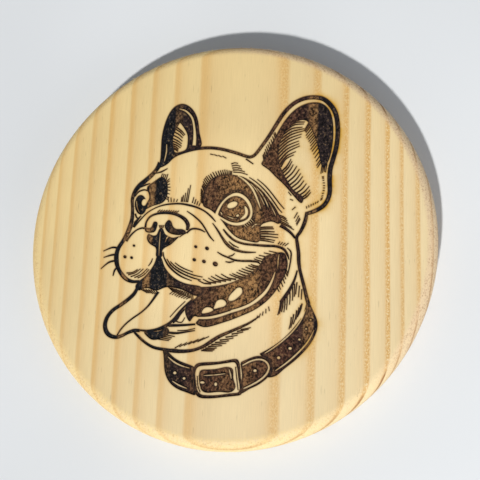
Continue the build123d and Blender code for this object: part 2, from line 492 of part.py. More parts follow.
def neck_fur():
    brush(
        (17.5, -7.8), (16.9, -10.0), (15.9, -12.2), (14.8, -14.0), (13.7, -15.3),
        width=(0.3, 0.5, 0.7, 0.9, 0.5),
    )
    hatch(
        [(13.8, -15.3), (15.0, -14.0), (16.9, -10.9)], [(13.2, -18.3), (14.9, -17.2), (17.0, -14.2)], 8,
        0.32, 0.1,
    )
    hatch([(17.5, -10.6), (18.7, -12.2)], [(17.3, -13.4), (18.6, -14.8)], 3, 0.26)
    # Hair that lies against the collar.
    hatch(
        [(18.8, -15.6), (17.9, -16.8), (16.4, -18.8)], [(18.1, -18.2), (17.2, -19.9), (15.9, -21.6)], 6,
        0.3, 0.12,
    )


def collar_strap():
    # Left of the buckle.
    patch(
        (-13.9, -27.3), (-13.5, -29.6), (-13.2, -31.9), (-12.4, -33.9), (-11.0, -35.4), (-9.0, -36.4),
        (-7.0, -37.0), (-5.6, -37.3), (-5.95, -35.4), (-6.05, -33.4), (-6.0, -31.1), (-7.3, -30.4),
        (-9.2, -29.8), (-11.0, -28.9), (-12.4, -27.7), (-13.2, -27.2),
    )
    brush(
        (-12.6, -28.7), (-11.0, -29.9), (-9.2, -30.7), (-7.2, -31.2),
        width=(0.2, 0.4, 0.34, 0.2), mode=BARE,
    )
    brush((-11.2, -34.3), (-9.6, -35.2), (-7.6, -35.9), width=(0.2, 0.36, 0.2), mode=BARE)
    # Right of the buckle, round to the back of the neck.
    patch(
        (9.4, -27.3), (12.0, -25.8), (14.3, -24.1), (16.4, -22.0), (18.2, -19.7), (19.4, -17.4),
        (20.2, -15.0), (21.2, -16.8), (22.2, -18.9), (22.5, -20.8), (22.0, -22.8), (20.8, -25.0),
        (19.0, -27.2), (16.9, -29.2), (14.6, -31.1), (12.4, -32.6), (11.2, -32.6), (11.8, -31.5),
        (11.9, -30.2), (11.1, -28.8), (9.9, -28.0),
    )
    brush((19.7, -16.9), (18.7, -19.3), (16.9, -21.9), (14.6, -24.2), (12.2, -26.1), (10.4, -27.3),
          width=(0.2, 0.34, 0.36, 0.36, 0.34, 0.2), mode=BARE)
    brush((21.7, -21.6), (20.4, -24.3), (18.2, -26.9), (15.6, -29.3), (13.0, -31.2),
          width=(0.2, 0.4, 0.4, 0.4, 0.2), mode=BARE)
    for x, y, size in (
        (-10.7, -32.4, 0.8), (-8.4, -33.6, 0.7), (20.9, -19.3, 0.5), (19.9, -21.4, 0.5), (18.4, -23.9, 0.6),
        (16.3, -26.0, 0.8), (13.7, -28.2, 0.8),
    ):
        dab(x, y, size, size * 0.85, mode=BARE)


def collar_end():
    # The strap's free end, which comes out of the buckle and lies over the strap.
    patch(
        (5.2, -29.3), (7.4, -28.3), (9.4, -27.9), (11.2, -28.6), (12.1, -30.2), (11.9, -31.8),
        (10.6, -33.4), (8.6, -34.8), (6.8, -35.7), (5.4, -36.5), (5.3, -33.5), (5.1, -31.0),
    )
    brush(
        (5.3, -30.2), (7.4, -29.1), (9.4, -28.7), (10.9, -29.3), (11.5, -30.6), (10.9, -32.1),
        (9.4, -33.5), (7.4, -34.7), (5.7, -35.5),
        width=(0.3, 0.4, 0.42, 0.45, 0.45, 0.45, 0.45, 0.4, 0.25), mode=BARE,
    )
    dab(8.3, -31.3, 0.8, 0.65, mode=BARE)


def collar_buckle():
    patch(
        (-6.2, -31.4), (-5.6, -30.2), (-4.2, -29.8), (-0.4, -29.5), (2.6, -28.9), (4.1, -28.9),
        (4.7, -30.2), (5.0, -32.8), (5.4, -35.2), (5.3, -36.7), (3.8, -37.2), (0.2, -37.7),
        (-3.2, -38.0), (-5.0, -37.6), (-5.8, -36.2), (-6.1, -33.8),
    )
    # The bare metal frame, then the strap seen through it.
    patch(
        (-5.7, -31.7), (-5.1, -30.8), (-3.8, -30.5), (-0.4, -30.1), (2.4, -29.6), (3.5, -29.6),
        (4.1, -30.7), (4.5, -33.2), (4.9, -35.4), (4.7, -36.2), (3.4, -36.6), (0.2, -37.1),
        (-2.9, -37.3), (-4.4, -37.0), (-5.2, -35.9), (-5.6, -33.9), mode=BARE,
    )
    patch(
        (-4.8, -32.3), (-4.4, -31.6), (-3.4, -31.4), (-0.4, -31.1), (2.2, -30.7), (2.9, -31.0),
        (3.3, -33.2), (3.8, -35.4), (3.4, -36.0), (0.2, -36.4), (-2.7, -36.7), (-3.8, -36.4),
        (-4.5, -35.2), (-4.8, -33.8),
    )
    brush((-3.8, -32.8), (-1.2, -32.6), (1.4, -32.2), width=(SPOT, 0.3, SPOT), mode=BARE)
    brush((2.2, -31.2), (2.6, -32.3), (2.8, -33.3), width=(0.2, 0.34, 0.2), mode=BARE)
    dab(-4.0, -34.4, 1.1, 0.6, mode=BARE)
    dab(-0.8, -34.7, 0.7, 0.85, mode=BARE)
    # A fine line round the metal frame.
    brush((-5.25, -33.0), (-5.0, -35.2), (-4.4, -36.6), width=(SPOT, 0.18, SPOT))
    brush((3.7, -30.6), (4.1, -33.2), (4.5, -35.8), width=(SPOT, 0.2, SPOT))


# ---- build each charred region, then the board it is burnt into ----------------------------------
REGIONS = [
    far_ear, near_ear, head_outline, far_eye_patch, far_eye, near_eye, near_eye_patch, brow_hatching,
    nose_folds, nose, muzzle_lines, muzzle_shading, whiskers, whisker_pits, mouth_front, lips,
    mouth_cavity, tongue, chin, neck_fur, collar_buckle, collar_end, collar_strap,
]


def clear_of(marks, earlier):
    """The faces of marks outside every earlier region, without the scraps too small to hold together."""
    with BuildSketch() as rest:
        add(marks)
        for other in earlier:
            if rest.sketch.bounding_box().overlaps(other.bounding_box()):
                add(other, mode=Mode.SUBTRACT)
    return [face for face in rest.faces() if face.area > SMALLEST_MARK]


def main():
    burnt = []
    for region in REGIONS:
        with BuildSketch() as marks:
            region()
        with BuildSketch() as outline:
            add(clear_of(marks.sketch, burnt))
        burnt.append(outline.sketch)
        with BuildPart() as char:
            with BuildSketch(Plane.XY.offset(POCKET_FLOOR)):
                add(outline.sketch)
            extrude(amount=CHAR_THICKNESS)
        char.part.label = "char_" + region.__name__
        export_step(char.part, f"parts/{char.part.label}.step")

    with BuildPart() as pine_board:
        Cylinder(BOARD_DIAMETER / 2, BOARD_THICKNESS, align=(Align.CENTER, Align.CENTER, Align.MIN))
        fillet(pine_board.edges().filter_by(GeomType.CIRCLE), EDGE_RADIUS)
        with BuildSketch(Plane.XY.offset(FACE)):
            add(burnt)
        extrude(amount=-ENGRAVING_DEPTH, mode=Mode.SUBTRACT)
    pine_board.part.label = "pine_board"
    export_step(pine_board.part, "parts/pine_board.step")


main()
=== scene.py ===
"""The looks of a round pine board with a bulldog portrait burnt into its face by a laser.

Lengths are in millimetres until a mesh is made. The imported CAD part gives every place: the board's size and
the outlines of its burnt pockets. The board and each burnt region are rebuilt as fine meshes on those same
outlines, so that toasted edges, charred floors and the torn wood of the rim have somewhere to live.
"""

import math

import bpy
import numpy as np
from mathutils import Matrix, Vector, geometry, kdtree, noise


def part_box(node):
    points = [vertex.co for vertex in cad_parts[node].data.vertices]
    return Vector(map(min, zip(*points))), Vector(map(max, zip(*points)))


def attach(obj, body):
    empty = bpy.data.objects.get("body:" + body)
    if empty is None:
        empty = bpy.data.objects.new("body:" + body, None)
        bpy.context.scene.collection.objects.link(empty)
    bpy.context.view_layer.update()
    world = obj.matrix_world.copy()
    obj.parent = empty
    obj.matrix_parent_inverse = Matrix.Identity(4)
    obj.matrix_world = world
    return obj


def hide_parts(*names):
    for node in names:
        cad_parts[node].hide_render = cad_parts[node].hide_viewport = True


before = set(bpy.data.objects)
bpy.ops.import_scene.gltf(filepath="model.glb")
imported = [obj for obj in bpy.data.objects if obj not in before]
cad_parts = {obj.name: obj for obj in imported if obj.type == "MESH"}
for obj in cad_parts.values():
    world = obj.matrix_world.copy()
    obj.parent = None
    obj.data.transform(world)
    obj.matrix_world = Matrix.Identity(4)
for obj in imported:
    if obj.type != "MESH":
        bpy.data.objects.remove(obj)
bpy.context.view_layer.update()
MM = 0.001

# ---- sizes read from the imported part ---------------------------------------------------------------
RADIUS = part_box("pine_board")[1].x / MM
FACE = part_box("pine_board")[1].z / MM
POCKET_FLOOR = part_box("char_head_outline")[0].z / MM
CHAR_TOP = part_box("char_head_outline")[1].z / MM
EDGE_RADIUS = 3.0
FLAT_RADIUS = RADIUS - EDGE_RADIUS

# ---- how fine the meshes are -----------------------------------------------------------------------
FACE_SPACING = 0.62
NEAR_SPACING = 0.27
NEAR_REACH = 0.75  # the finer spacing goes this far from a burnt line
CHAR_SPACING = 0.32
OUTLINE_SPACING = 0.06  # between the points that distances are measured from
CLEARANCE = 0.06  # filling points keep this far from an outline
BRINK_CLEARANCE = 0.3  # filling points keep this far from the edge of the flat face
POCKET_LIMIT = FLAT_RADIUS - 0.2  # every burnt line lies inside this radius
RIM_STEPS = 720
ROUND_STEPS = 9
SIDE_STEPS = 4
SAME_PLACE = 0.001  # measures that differ by less than this are taken as equal
FAR = 20.0  # the distance given to wood nowhere near a burnt line
ANYWHERE = 1000.0  # further than any two points of the board are apart

# ---- torn wood and charred floors ------------------------------------------------------------------
TEAR_ALONG_GRAIN = 0.012  # how far the rim's roughness stands out where the fibres run along it
TEAR_AT_ENDS = 0.055  # how much further it stands out where they end
LEAST_TORN = 0.1  # the share of that left in the smoothest patches
TEAR_OCTAVES = (0.8, 2.1, 4)  # how fast the octaves fade, how much finer each is, and how many there are
PATCH_WAVES = 0.14  # rough patches to the millimetre
DISH_REACH = 0.3  # a charred floor sinks over this distance from its edges
DISH = 0.08  # how far it sinks for each millimetre of that
CRUST = 0.1  # how much its crust adds to that or takes away
CRUST_WAVES = 2.6  # lumps of crust to the millimetre
CRUST_OCTAVES = (0.7, 2.3, 3)

# ---- splinters along the rounded edge --------------------------------------------------------------
SPLINTERS = 750
LEAST_CHANCE = 0.12  # how likely one is where the fibres run along the edge, if it is 1 where they end
SPLINTER_LEANS = (8, 62)  # degrees out from upright
SPLINTER_LENGTHS = (0.15, 0.55)
SPLINTER_HALF_WIDTHS = (0.02, 0.045)
SPLINTER_BENDS = (-0.05, 0.1)
BENDS_AT = 0.55  # of a splinter's length
SUNK = 0.03  # how far a splinter's foot is set into the wood
SPLINTER_FACES = ((0, 1, 4, 3), (1, 2, 5, 4), (2, 0, 3, 5), (3, 4, 6), (4, 5, 6), (5, 3, 6))

# ---- the tree the board was sawn from --------------------------------------------------------------
PITH_X = 3.0
PITH_ABOVE_FACE = 41.0
LEAN = 1.3  # how far to the right the rings on both flanks are shifted
# (radius, darkness) of the late-wood lines, going outwards from the pith.
RINGS = (
    (36.9, 0.6), (39.9, 0.6), (42.23, 0.6), (44.6, 0.55), (47.58, 0.65),
    (50.6, 0.8), (53.8, 1.0), (56.2, 0.6), (59.06, 0.65), (61.8, 0.6),
    (64.0, 0.6), (66.4, 0.5), (68.7, 0.6), (71.1, 0.6), (73.4, 0.6),
)
LINE_CENTRE = 0.8  # how far through its ring's growth a dark line's middle lies

# ---- colours, as sRGB ------------------------------------------------------------------------------
EARLY_WOOD = (240, 217, 170)
MID_WOOD = (234, 206, 157)
LATE_WOOD = (226, 181, 112)
RIM_LINE = (164, 120, 78)
TOP_LEFT_TINT = (252, 247, 227)  # multiplies the wood's colour, fully at the top left and not at all at the bottom right
RIM_TAN = (230, 200, 168)
RIM_CREAM = (241, 213, 150)
TOAST = (92, 56, 24)
SMOKE = (210, 162, 62)
CHAR_ON_EARLY = (22, 23, 27)
CHAR_MIDDLE = (66, 42, 32)  # where the rings run almost level with the face
CHAR_ON_LATE = (128, 94, 58)
CHAR_SPECK = (158, 130, 86)
FLOOR = (229, 232, 235)
FLOOR_DRIFT = 5  # how much darker the floor is in places

# ---- light, floor and camera -----------------------------------------------------------------------
LIGHT_TRAVELS = (1.4, 6.8, -7.0)
SUN_COLOUR = (1.0, 0.985, 0.955)
SUN_STRENGTH = 3.08
SUN_ANGLE = 3.0
SKY_STRENGTH = 0.245
SKY_COLOUR = (0.93, 0.985, 1.06, 1.0)
FILL_COLOUR = (1.0, 1.0, 1.0)
FILL_POWER = 0.092
FILL_SIZE = 140.0
FILL_PLACE = (160.0, -120.0, 100.0)
CAMERA_AZIMUTH = 40.98
CAMERA_ELEVATION = 74.57
CAMERA_ROLL = -39.76
CAMERA_DISTANCE = 195.3
CAMERA_AIM = (3.58, -0.52)
CAMERA_LENS = 61.2
CAMERA_SENSOR = 36.0
NEAREST_SEEN = 10.0
FLOOR_HALF_WIDTH = 30 * RADIUS


def linear(colour):
    """An sRGB colour, 0 to 255, as the linear RGBA that shader sockets take."""
    parts = [c / 255 for c in colour]
    return (*[p / 12.92 if p <= 0.04045 else ((p + 0.055) / 1.055) ** 2.4 for p in parts], 1.0)


# ---- outlines and triangles ------------------------------------------------------------------------
def outline_of(node, height):
    """The boundary of a CAD node's flat area at a height, as a list of pairs of (x, y) points."""
    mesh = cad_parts[node].data
    mesh.calc_loop_triangles()
    keys = [tuple(round(c / MM, 4) for c in v.co) for v in mesh.vertices]
    uses = {}
    for triangle in mesh.loop_triangles:
        corners = [keys[i] for i in triangle.vertices]
        if all(abs(c[2] - height) < SAME_PLACE for c in corners):
            for a, b in around(corners):
                edge = (min(a, b)[:2], max(a, b)[:2])
                uses[edge] = uses.get(edge, 0) + 1
    return [edge for edge, times in uses.items() if times == 1 and edge[0] != edge[1]]


def around(corners):
    """Each item of a ring with the one that follows it."""
    return zip(corners, corners[1:] + corners[:1])


def distance_tree(edges):
    """A search tree over points strung along the edges, to measure distances from them."""
    points = []
    for a, b in edges:
        steps = max(1, math.ceil(math.dist(a, b) / OUTLINE_SPACING))
        points += [Vector(a).lerp(Vector(b), i / steps) for i in range(steps + 1)]
    tree = kdtree.KDTree(len(points))
    for i, point in enumerate(points):
        tree.insert((*point, 0), i)
    tree.balance()
    return tree


def distance(tree, x, y):
    """How far a point of the face is from the edges that a tree was made from."""
    return tree.find((x, y, 0))[2]


def honeycomb(low, high, spacing):
    """Points in staggered rows over a rectangle."""
    row_height = spacing * math.sqrt(3) / 2
    for j in range(int((high[1] - low[1]) / row_height) + 1):
        for i in range(int((high[0] - low[0]) / spacing) + 1):
            yield low[0] + spacing * (i + 0.5 * (j % 2)), low[1] + row_height * j


def triangulate(edges, filling):
    """Points, triangles over them that respect the edges, and for each triangle whether it is inside.

    A triangle is inside when an odd number of the edges' loops enclose it.
    """
    index = {}
    for edge in edges:
        for point in edge:
            index.setdefault(point, len(index))
    points = [Vector(p) for p in index] + [Vector(p) for p in filling]
    pairs = [(index[a], index[b]) for a, b in edges]
    places, sides, triangles, _, source, _ = geometry.delaunay_2d_cdt(points, pairs, [], 0, 1e-5, True)
    walls = {tuple(sorted(side)) for side, made_by in zip(sides, source) if made_by}
    users = {}
    for t, corners in enumerate(triangles):
        for side in sides_of(corners):
            users.setdefault(side, []).append(t)
    inside = [None] * len(triangles)
    waiting = [(owners[0], side in walls) for side, owners in users.items() if len(owners) == 1]
    while waiting:
        t, is_inside = waiting.pop()
        if inside[t] is not None:
            continue
        inside[t] = is_inside
        for side in sides_of(triangles[t]):
            beyond = is_inside != (side in walls)
            waiting += [(other, beyond) for other in users[side] if inside[other] is None]
    return [tuple(p) for p in places], [tuple(t) for t in triangles], inside


def sides_of(corners):
    """The three sides of a triangle, each as a sorted pair."""
    return [tuple(sorted(side)) for side in around(corners)]


def seams(triangles):
    """The sides that only one of the triangles has, running with that triangle on their left."""
    owned = dict.fromkeys(side for corners in triangles for side in around(corners))
    return [(a, b) for a, b in owned if (b, a) not in owned]


def without_strays(faces):
    """The points that faces use, as their old numbers, and the faces renumbered to match."""
    used = sorted({i for face in faces for i in face})
    renumber = {old: new for new, old in enumerate(used)}
    return used, [tuple(renumber[i] for i in face) for face in faces]


# ---- meshes ----------------------------------------------------------------------------------------
def make_piece(name, points, faces, distances, material, crease_degrees=32):
    """A mesh object from points in millimetres, with each point's distance from the nearest burnt edge."""
    mesh = bpy.data.meshes.new(name)
    mesh.from_pydata([Vector(p) * MM for p in points], [], faces)
    mesh.validate()
    mesh.attributes.new("burnt_edge", "FLOAT", "POINT").data.foreach_set("value", distances)
    mesh.shade_smooth()
    mesh.set_sharp_from_angle(angle=math.radians(crease_degrees))
    mesh.materials.append(material)
    piece = bpy.data.objects.new(name, mesh)
    bpy.context.scene.collection.objects.link(piece)
    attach(piece, "root")
    return piece


def torn(x, y, z):
    """How far the wood stands out at a point of the rim.

    It is rough where the fibres end, and nearly smooth where they run along.
    """
    end_grain = (y / math.hypot(x, y)) ** 2
    rough = noise.fractal(Vector((x * 2.2, y * 0.9, z * 2.2)), *TEAR_OCTAVES)
    patches = noise.noise(Vector((x * PATCH_WAVES, y * PATCH_WAVES, 3.0))) + 0.5
    return rough * (TEAR_ALONG_GRAIN + TEAR_AT_ENDS * end_grain * max(patches, LEAST_TORN))


def rim_profile():
    """(radius, height) down the board's edge, from just outside the face to the edge of the underside."""
    top_of_side = FACE - EDGE_RADIUS
    side_height = FACE - 2 * EDGE_RADIUS
    upper = []
    for i in range(1, ROUND_STEPS + 1):
        turn = math.pi / 2 * i / ROUND_STEPS
        out, up = EDGE_RADIUS * math.sin(turn), EDGE_RADIUS * math.cos(turn)
        upper.append((FLAT_RADIUS + out, top_of_side + up))
    side = [(RADIUS, top_of_side - side_height * i / SIDE_STEPS) for i in range(1, SIDE_STEPS)]
    lower = [(radius, FACE - height) for radius, height in reversed(upper)]
    return upper + side + lower + [(FLAT_RADIUS, 0.0)]


def make_board(material):
    """The pine board as one closed mesh: its face with every pocket, its torn rim and its underside."""
    turn = [2 * math.pi * i / RIM_STEPS for i in range(RIM_STEPS)]
    brink = [(FLAT_RADIUS * math.cos(t), FLAT_RADIUS * math.sin(t)) for t in turn]
    pockets = [edge for edge in outline_of("pine_board", FACE) if math.hypot(*edge[0]) < POCKET_LIMIT]
    tree = distance_tree(pockets)
    corner = (-FLAT_RADIUS, -FLAT_RADIUS), (FLAT_RADIUS, FLAT_RADIUS)
    filling = []
    for spacing, nearest, furthest in (
        (FACE_SPACING, NEAR_REACH, ANYWHERE),
        (NEAR_SPACING, CLEARANCE, NEAR_REACH),
    ):
        for x, y in honeycomb(*corner, spacing):
            on_face = math.hypot(x, y) < FLAT_RADIUS - BRINK_CLEARANCE
            if on_face and nearest < distance(tree, x, y) <= furthest:
                filling.append((x, y))
    places, triangles, inside = triangulate(list(around(brink)) + pockets, filling)

    count = len(places)
    points = [(x, y, FACE) for x, y in places] + [(x, y, POCKET_FLOOR) for x, y in places]
    distances = [distance(tree, x, y) for x, y in places] + [0.0] * count
    faces = [t if is_wood else tuple(i + count for i in t) for t, is_wood in zip(triangles, inside)]
    wood = [t for t, is_wood in zip(triangles, inside) if is_wood]
    walls = [(a, b) for a, b in seams(wood) if math.hypot(*places[a]) < POCKET_LIMIT]
    faces += [(b, a, a + count, b + count) for a, b in walls]

    ring = [i for i in range(count) if math.hypot(*places[i]) > FLAT_RADIUS - SAME_PLACE]
    ring.sort(key=lambda i: math.atan2(places[i][1], places[i][0]))
    angles = [math.atan2(places[i][1], places[i][0]) for i in ring]
    for radius, height in rim_profile():
        start = len(points)
        for angle in angles:
            x, y = radius * math.cos(angle), radius * math.sin(angle)
            grow = 1 + torn(x, y, height) / radius if 0 < height < FACE else 1
            points.append((x * grow, y * grow, height))
        lower = list(range(start, len(points)))
        faces += [(a, c, d, b) for (a, b), (c, d) in zip(around(ring), around(lower))]
        ring = lower
    faces.append(tuple(reversed(ring)))
    distances += [FAR] * (len(points) - len(distances))

    used, faces = without_strays(faces)
    points = [points[i] for i in used]
    board = make_piece("pine_board_wood", points, faces, [distances[i] for i in used], material)
    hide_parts("pine_board")


def char_relief(x, y, depth):
    """How far a charred floor sits below its level, at a distance from its nearest edge."""
    crust = noise.fractal(Vector((x * CRUST_WAVES, y * CRUST_WAVES, 1.7)), *CRUST_OCTAVES)
    return min(depth, DISH_REACH) * (DISH + CRUST * crust)


def make_char(node, material):
    """One burnt region: the charred floor of its pocket, and the skirt that joins it to the wood."""
    outline = outline_of(node, CHAR_TOP)
    tree = distance_tree(outline)
    low, high = (corner.to_2d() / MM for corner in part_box(node))
    filling = [p for p in honeycomb(low, high, CHAR_SPACING) if distance(tree, *p) > CLEARANCE]
    places, triangles, inside = triangulate(outline, filling)
    used, top = without_strays([t for t, burnt in zip(triangles, inside) if burnt])
    places = [places[i] for i in used]
    depths = [distance(tree, *place) for place in places]
    count = len(places)
    points = [(*place, CHAR_TOP - char_relief(*place, depth)) for place, depth in zip(places, depths)]
    points += [(x, y, POCKET_FLOOR) for x, y in places]
    skirt = [(b, a, a + count, b + count) for a, b in seams(top)]
    underside = [tuple(i + count for i in reversed(face)) for face in top]
    name = node.replace("char_", "burnt_")
    piece = make_piece(name, points, top + skirt + underside, depths + depths, material)
    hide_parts(node)


def make_fibres(material, seed=5):
    """Splinters of torn grain that stand up along the rounded edge, most of them where the fibres end."""
    draw = np.random.default_rng(seed)
    points, faces = [], []
    while len(faces) < SPLINTERS * len(SPLINTER_FACES):
        angle = draw.uniform(0, 2 * math.pi)
        if draw.uniform() > LEAST_CHANCE + (1 - LEAST_CHANCE) * math.sin(angle) ** 2:
            continue
        outwards = Vector((math.cos(angle), math.sin(angle), 0))
        lean = math.radians(draw.uniform(*SPLINTER_LEANS))
        out = outwards * math.sin(lean) + Vector((0, 0, math.cos(lean)))
        centre = outwards * FLAT_RADIUS + Vector((0, 0, FACE - EDGE_RADIUS))
        root = centre + out * (EDGE_RADIUS - SUNK)
        grain = Vector((0, math.copysign(1, math.sin(angle)), 0))
        aim = out * draw.uniform(0.15, 0.5) + grain * draw.uniform(0.3, 1.0)
        aim = (aim + Vector(draw.normal(0, 0.3, 3))).normalized()
        across = aim.cross(out).normalized() * draw.uniform(*SPLINTER_HALF_WIDTHS)
        reach = aim * draw.uniform(*SPLINTER_LENGTHS)
        bend = out * draw.uniform(*SPLINTER_BENDS)
        middle = root + reach * BENDS_AT + bend
        start = len(points)
        points += [root - across, root + across, root + out * 0.05]
        points += [middle - across * 0.7, middle + across * 0.7, middle + out * 0.03, root + reach]
        faces += [tuple(start + i for i in face) for face in SPLINTER_FACES]
    make_piece("torn_fibres", points, faces, [FAR] * len(points), material)


# ---- shader nodes ----------------------------------------------------------------------------------
class Shader:
    """A material, with short ways to add nodes: an input that is a socket is linked, any other is set."""

    def __init__(self, name):
        self.material = bpy.data.materials.new(name)
        self.material.use_nodes = True
        self.tree = self.material.node_tree
        self.tree.nodes.clear()

    def add(self, kind, inputs, **settings):
        """A node of a kind, with its inputs linked or set."""
        node = self.tree.nodes.new("ShaderNode" + kind)
        for name, value in settings.items():
            setattr(node, name, value)
        for key, value in inputs.items():
            if isinstance(value, bpy.types.NodeSocket):
                self.tree.links.new(value, node.inputs[key])
            else:
                node.inputs[key].default_value = value
        return node

    def math(self, operation, *values):
        """One Math node."""
        return self.add("Math", dict(enumerate(values)), operation=operation).outputs[0]

    def times(self, product, *others):
        """Everything multiplied together."""
        for other in others:
            product = self.math("MULTIPLY", product, other)
        return product

    def plus(self, total, *others):
        """Everything added up."""
        for other in others:
            total = self.math("ADD", total, other)
        return total

    def length(self, a, b):
        """The long side of the right-angled triangle whose short sides are a and b."""
        return self.math("SQRT", self.plus(self.math("POWER", a, 2.0), self.math("POWER", b, 2.0)))

    def ramp(self, value, low, high, to_low=0.0, to_high=1.0):
        """A value eased from one pair of ends to another."""
        inputs = dict(enumerate((value, low, high, to_low, to_high)))
        return self.add("MapRange", inputs, interpolation_type="SMOOTHSTEP").outputs[0]

    def noise(self, place, waves, detail=3.0, roughness=0.55):
        """Noise from 0 to 1, with so many waves to the millimetre along each axis."""
        place = self.stretched(place, waves)
        inputs = {"Vector": place, "Scale": 1.0, "Detail": detail, "Roughness": roughness}
        return self.add("TexNoise", inputs).outputs["Fac"]

    def mix(self, share, a, b, blend="MIX"):
        """Colour a with a share of colour b mixed in."""
        settings = {"data_type": "RGBA", "blend_type": blend, "clamp_result": True}
        return self.add("Mix", {0: share, 6: a, 7: b}, **settings).outputs[2]

    def shaded(self, colour, shade):
        """A colour made lighter or darker."""
        grey = self.add("CombineColor", {0: shade, 1: shade, 2: shade}).outputs[0]
        return self.mix(1.0, colour, grey, "MULTIPLY")

    def curve(self, value, points):
        """Straight lines through points, read at a value."""
        node = self.add("FloatCurve", {1: value})
        line = node.mapping.curves[0]
        line.points[0].location, line.points[-1].location = points[0], points[-1]
        for x, y in points[1:-1]:
            line.points.new(x, y)
        for point in line.points:
            point.handle_type = "VECTOR"
        node.mapping.update()
        return node.outputs[0]

    def place(self):
        """The point being shaded, in millimetres in the board's frame."""
        return self.stretched(self.add("TexCoord", {}).outputs["Object"], (1 / MM,) * 3)

    def stretched(self, place, by):
        """A place with its x, y and z each multiplied by a number."""
        return self.add("VectorMath", {0: place, 1: by}, operation="MULTIPLY").outputs["Vector"]

    def split(self, place):
        """The x, y and z of a place."""
        return self.add("SeparateXYZ", {0: place}).outputs

    def burnt_edge(self):
        """The distance from the nearest burnt edge, in millimetres."""
        return self.add("Attribute", {}, attribute_name="burnt_edge").outputs["Fac"]

    def finish(self, colour, roughness, height, relief, specular=0.3):
        """Ends the material: relief is how many millimetres a height of 1 stands up."""
        bump = self.add("Bump", {"Strength": 1.0, "Distance": relief * MM, "Height": height})
        surface = self.add("BsdfPrincipled", {
            "Base Color": colour,
            "Roughness": roughness,
            "Normal": bump.outputs[0],
            "Specular IOR Level": specular,
        })
        output = self.add("OutputMaterial", {})
        self.tree.links.new(surface.outputs[0], output.inputs["Surface"])
        return self.material


def growth(s):
    """(place, share of the way through its ring's growth, darkness of the late-wood line)."""
    place = s.place()
    wander = s.noise(place, (0.05, 0.014, 0.05), detail=1.0)
    ragged = s.noise(place, (1.1, 0.22, 1.1), detail=2.0)
    x, _, z = s.split(place)
    across = s.math("SUBTRACT", x, PITH_X)
    reach = s.math("ABSOLUTE", across)
    flank = s.times(s.ramp(reach, 8.0, 26.0), s.ramp(reach, 30.0, 43.0, 1.0, 0.0))
    across = s.math("MULTIPLY_ADD", flank, -LEAN, across)
    across = s.plus(s.math("SUBTRACT", wander, 0.5), across)
    deep = s.math("SUBTRACT", PITH_ABOVE_FACE + FACE, z)
    radius = s.length(across, deep)
    radius = s.math("MULTIPLY_ADD", s.math("SUBTRACT", ragged, 0.5), 0.12, radius)

    shares = ring_shares()
    rings = len(RINGS) - 1
    share = s.math("DIVIDE", s.math("SUBTRACT", radius, RINGS[0][0]), RINGS[-1][0] - RINGS[0][0])
    count = s.curve(share, [(at, i / rings) for i, (at, _) in enumerate(shares)])
    phase = s.math("FRACT", s.math("MULTIPLY_ADD", count, rings, LINE_CENTRE))
    line = s.times(s.ramp(phase, 0.56, 0.8), s.ramp(phase, 0.84, 0.97, 1.0, 0.0))
    darkness = s.times(s.curve(share, shares), s.ramp(x, -30.0, 30.0, 0.62, 1.2))
    return place, phase, s.times(line, darkness)


def ring_shares():
    """(share of the way from the first ring to the last, darkness) of every ring."""
    first, last = RINGS[0][0], RINGS[-1][0]
    return [((radius - first) / (last - first), darkness) for radius, darkness in RINGS]


def grain_colour(s, place, phase, line, grit):
    """Early and late wood, with the late-wood lines broken up towards the right."""
    x, y, _ = s.split(place)
    late = s.times(s.ramp(phase, 0.1, 0.8), s.ramp(phase, 0.84, 0.97, 1.0, 0.0))
    colour = s.mix(late, linear(EARLY_WOOD), linear(MID_WOOD))
    colour = s.mix(line, colour, linear(LATE_WOOD))
    broken = s.times(s.ramp(grit, 0.5, 0.62, 0.0, 0.9), s.ramp(x, -5.0, 20.0, 0.25, 1.0))
    colour = s.mix(s.times(line, broken), colour, linear(EARLY_WOOD))
    darker = s.times(s.ramp(grit, 0.34, 0.46, 0.4, 0.0), s.ramp(x, -5.0, 20.0, 0.1, 1.0))
    colour = s.mix(s.times(line, darker), colour, linear(RIM_LINE))
    # A yellower, slightly darker tint towards the top left that fades out towards the bottom right.
    top_left_tint = s.ramp(s.math("SUBTRACT", x, y), -70.0, 60.0, 1.0, 0.0)
    return s.mix(top_left_tint, colour, linear(TOP_LEFT_TINT), "MULTIPLY")


def fibre_tone_and_painted_light(s, place, fibres):
    """How light the wood is: streaked, blotched and dark in its resin ducts, with painted light that makes it
    paler in the middle of the face.
    """
    blotches = s.noise(place, (0.09, 0.03, 0.09), detail=2.0)
    ducts = s.noise(place, (2.6, 0.3, 2.6), detail=0.0)
    shade = s.plus(s.ramp(fibres, 0.3, 0.7, 0.955, 1.03), s.ramp(blotches, 0.35, 0.65, -0.025, 0.02))
    shade = s.math("SUBTRACT", shade, s.ramp(ducts, 0.77, 0.82, 0.0, 0.14))
    from_centre = s.add("VectorMath", {0: place}, operation="LENGTH").outputs["Value"]
    # Painted light: the wood is brightened in the middle of the face and darkened towards the rim.
    return s.times(shade, s.ramp(from_centre, 18.0, 34.0, 1.08, 0.95))


